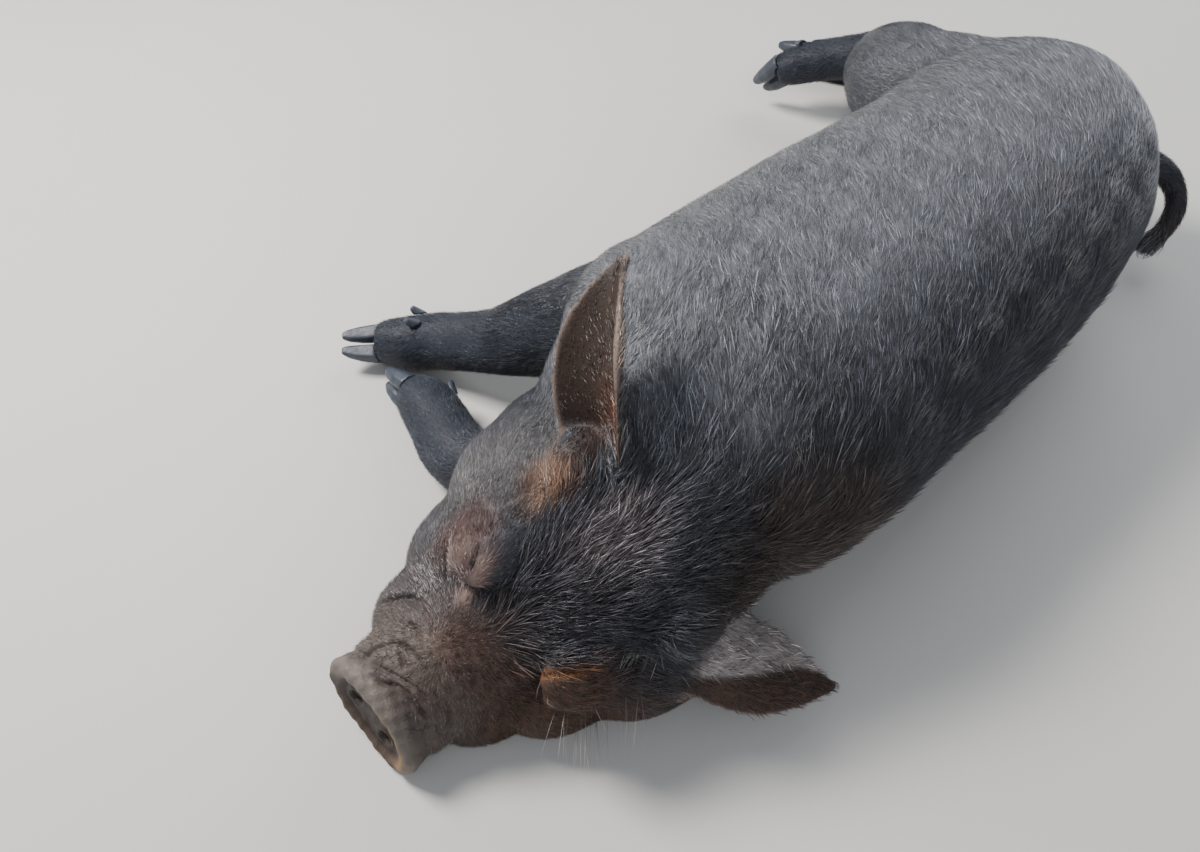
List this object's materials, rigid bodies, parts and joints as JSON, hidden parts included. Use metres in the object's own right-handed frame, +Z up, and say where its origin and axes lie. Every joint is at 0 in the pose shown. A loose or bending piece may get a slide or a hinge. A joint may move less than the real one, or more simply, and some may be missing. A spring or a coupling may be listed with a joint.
{
  "type": "kunekune pig",
  "caption": "Life-size still model of a young kunekune pig asleep on its side, with bristly dark skin, upright and lying ears, short turned-up snout, cloven feet and curled tail.",
  "frame": {"origin": "centre of the footprint, on the floor that the pig lies on", "axes": "+X from the snout towards the rump, +Y from the back towards the feet, +Z up out of the right flank"},
  "size_m": [0.7066, 0.4644, 0.2141],
  "materials": {
    "slate_hide": "matte",
    "slate_hoof": "satin",
    "dark_eye": "gloss"
  },
  "bodies": {
    "root": {"torso": "slate_hide", "rump": "slate_hide", "neck": "slate_hide", "head": "slate_hide", "leg_front_left": "slate_hide", "leg_front_right": "slate_hide", "foot_front_right": "slate_hide", "thigh_right": "slate_hide", "foot_hind_right": "slate_hide", "thigh_left": "slate_hide", "foot_hind_left": "slate_hide", "ear_right": "slate_hide", "ear_left": "slate_hide", "tail_root": "slate_hide", "tail_curl": "slate_hide", "tail_tip": "slate_hide", "wattle_right": "slate_hide", "wattle_left": "slate_hide", "eye_right": "dark_eye", "eye_left": "dark_eye", "claw_front_right_upper": "slate_hoof", "claw_front_right_lower": "slate_hoof", "claw_front_left_upper": "slate_hoof", "claw_front_left_lower": "slate_hoof", "claw_hind_right_upper": "slate_hoof", "claw_hind_right_lower": "slate_hoof", "claw_hind_left_upper": "slate_hoof", "claw_hind_left_lower": "slate_hoof", "dewclaw_front_right_upper": "slate_hoof", "dewclaw_front_right_lower": "slate_hoof", "dewclaw_front_left_upper": "slate_hoof", "dewclaw_front_left_lower": "slate_hoof", "dewclaw_hind_right_upper": "slate_hoof", "dewclaw_hind_right_lower": "slate_hoof", "dewclaw_hind_left_upper": "slate_hoof", "dewclaw_hind_left_lower": "slate_hoof"}
  },
  "joints": []
}
